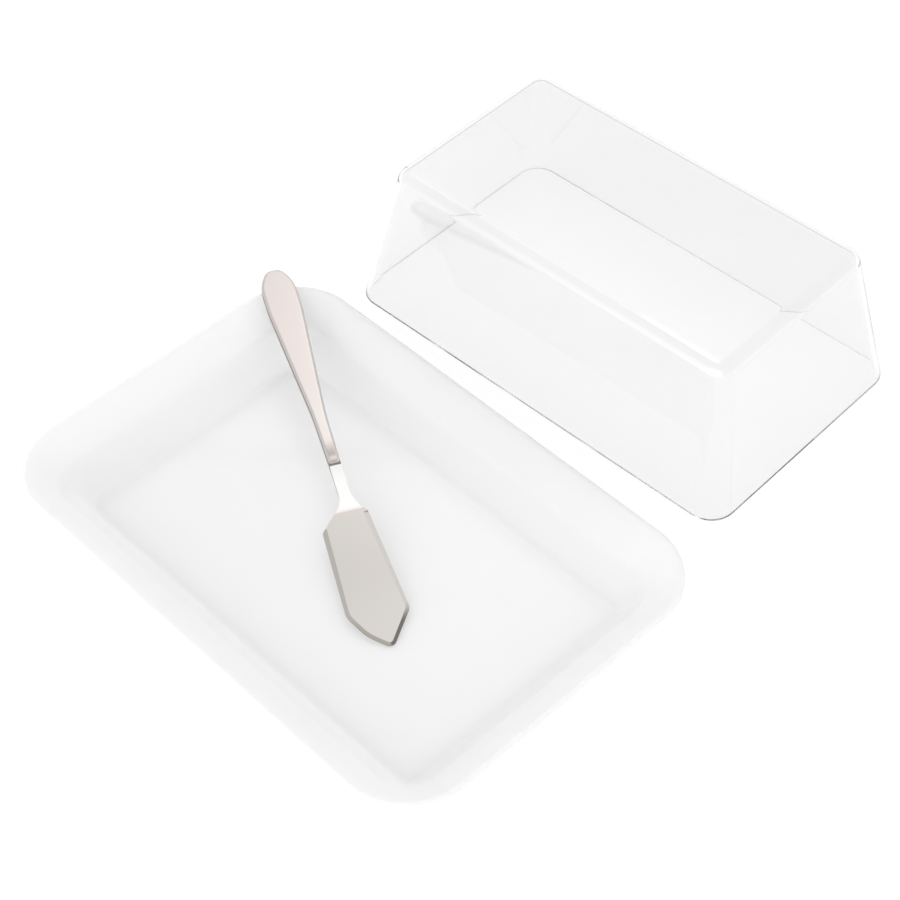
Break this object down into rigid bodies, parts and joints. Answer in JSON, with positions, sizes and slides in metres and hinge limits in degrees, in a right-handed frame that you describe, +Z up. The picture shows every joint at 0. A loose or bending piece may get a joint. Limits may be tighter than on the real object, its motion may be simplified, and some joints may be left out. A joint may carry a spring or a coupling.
{
  "type": "butter dish",
  "caption": "Flared rectangular white tray with a clear drafted cover standing beside it and a flat steel butter knife lying across the tray; cover and knife lift off.",
  "frame": {"origin": "on the table, in the middle of the rectangle that just holds the whole set", "axes": "+X along the tray, +Y across the tray towards the cover that stands behind it, +Z up"},
  "size_m": [0.197, 0.2587, 0.0569],
  "materials": {
    "tray_plastic": "satin-gloss moulded white plastic",
    "clear_plastic": "clear moulded plastic",
    "knife_steel": "satin, with a polished neck"
  },
  "bodies": {
    "tray": {"tray": "tray_plastic"},
    "cover": {"cover": "clear_plastic"},
    "knife": {"butter_knife": "knife_steel"}
  },
  "joints": [
    {"name": "cover_lift", "type": "slide", "parent": "tray", "child": "cover", "axis": [0, 0, 1], "range_m": [0, 0.1]},
    {"name": "knife_lift", "type": "slide", "parent": "tray", "child": "knife", "axis": [0, 0, 1], "range_m": [0, 0.08]}
  ]
}
